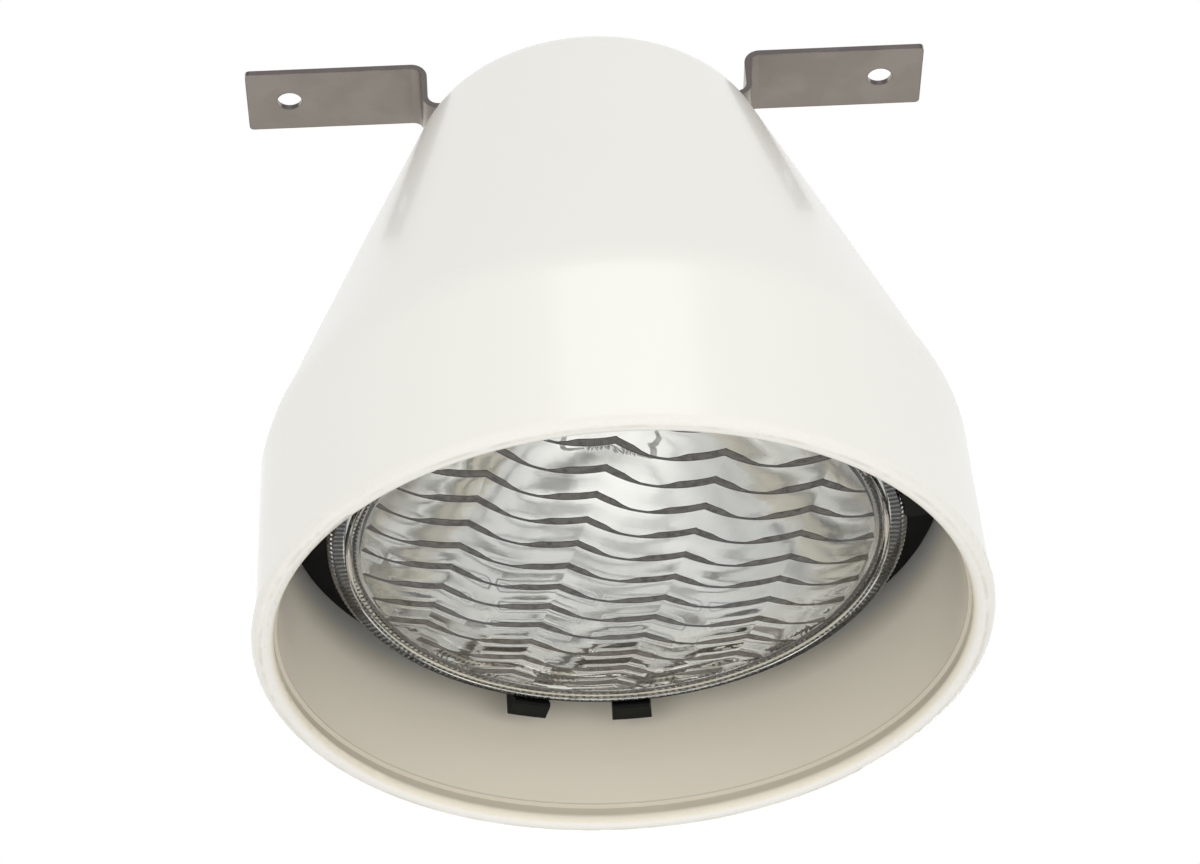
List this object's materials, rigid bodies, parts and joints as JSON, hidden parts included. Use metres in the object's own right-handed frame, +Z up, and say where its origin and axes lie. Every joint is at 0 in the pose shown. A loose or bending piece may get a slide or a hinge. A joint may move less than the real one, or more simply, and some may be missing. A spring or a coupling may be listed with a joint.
{
  "type": "spreader light",
  "caption": "Round downward deck light with a sealed-beam lamp recessed in an ivory hood on a bent steel strap.",
  "frame": {"origin": "midway between the two strap holes, on the upper face of the strap's tabs", "axes": "+Z points up out of the surface that the tabs are bolted to; X runs along the strap through both holes; the mouth faces -Z"},
  "size_m": [0.144, 0.1438, 0.1425],
  "materials": {
    "ivory_plastic": "glossy moulded",
    "strap_steel": "dull rolled",
    "screw_steel": "satin",
    "black_plastic": "satin moulded",
    "black_rubber": "matt",
    "lens_glass": "fluted clear",
    "silvered_glass": "silvered",
    "tungsten": "drawn wire",
    "brass": "satin",
    "block_plastic": "moulded",
    "red_insulation": "satin",
    "black_insulation": "satin"
  },
  "bodies": {
    "housing": {"housing_shell": "ivory_plastic", "hat_bracket": "strap_steel", "bracket_pad": "black_rubber", "bracket_screws": "screw_steel", "bracket_washers": "screw_steel", "bracket_nuts": "screw_steel", "cable_grommet": "black_rubber", "carrier_gasket": "black_rubber", "lamp_carrier": "black_plastic", "carrier_screws": "screw_steel", "lamp_gasket": "black_rubber", "terminal_block": "block_plastic", "block_clamps": "brass", "clamp_screws": "screw_steel", "block_fixing_screws": "screw_steel", "lead_positive": "red_insulation", "lead_negative": "black_insulation"},
    "lamp": {"lamp_lens": "lens_glass", "lamp_reflector": "silvered_glass", "filament_coil": "tungsten", "filament_posts": "screw_steel", "reflector_ferrules": "screw_steel", "terminal_plates": "brass", "ring_terminals": "brass", "terminal_screws": "brass"}
  },
  "joints": [
    {"name": "lamp_turn", "type": "hinge", "parent": "housing", "child": "lamp", "pos_m": [0, 0, -0.1174], "axis": [0, 0, 1], "range_deg": [-45, 45], "deforming": ["lead_positive", "lead_negative"]}
  ]
}
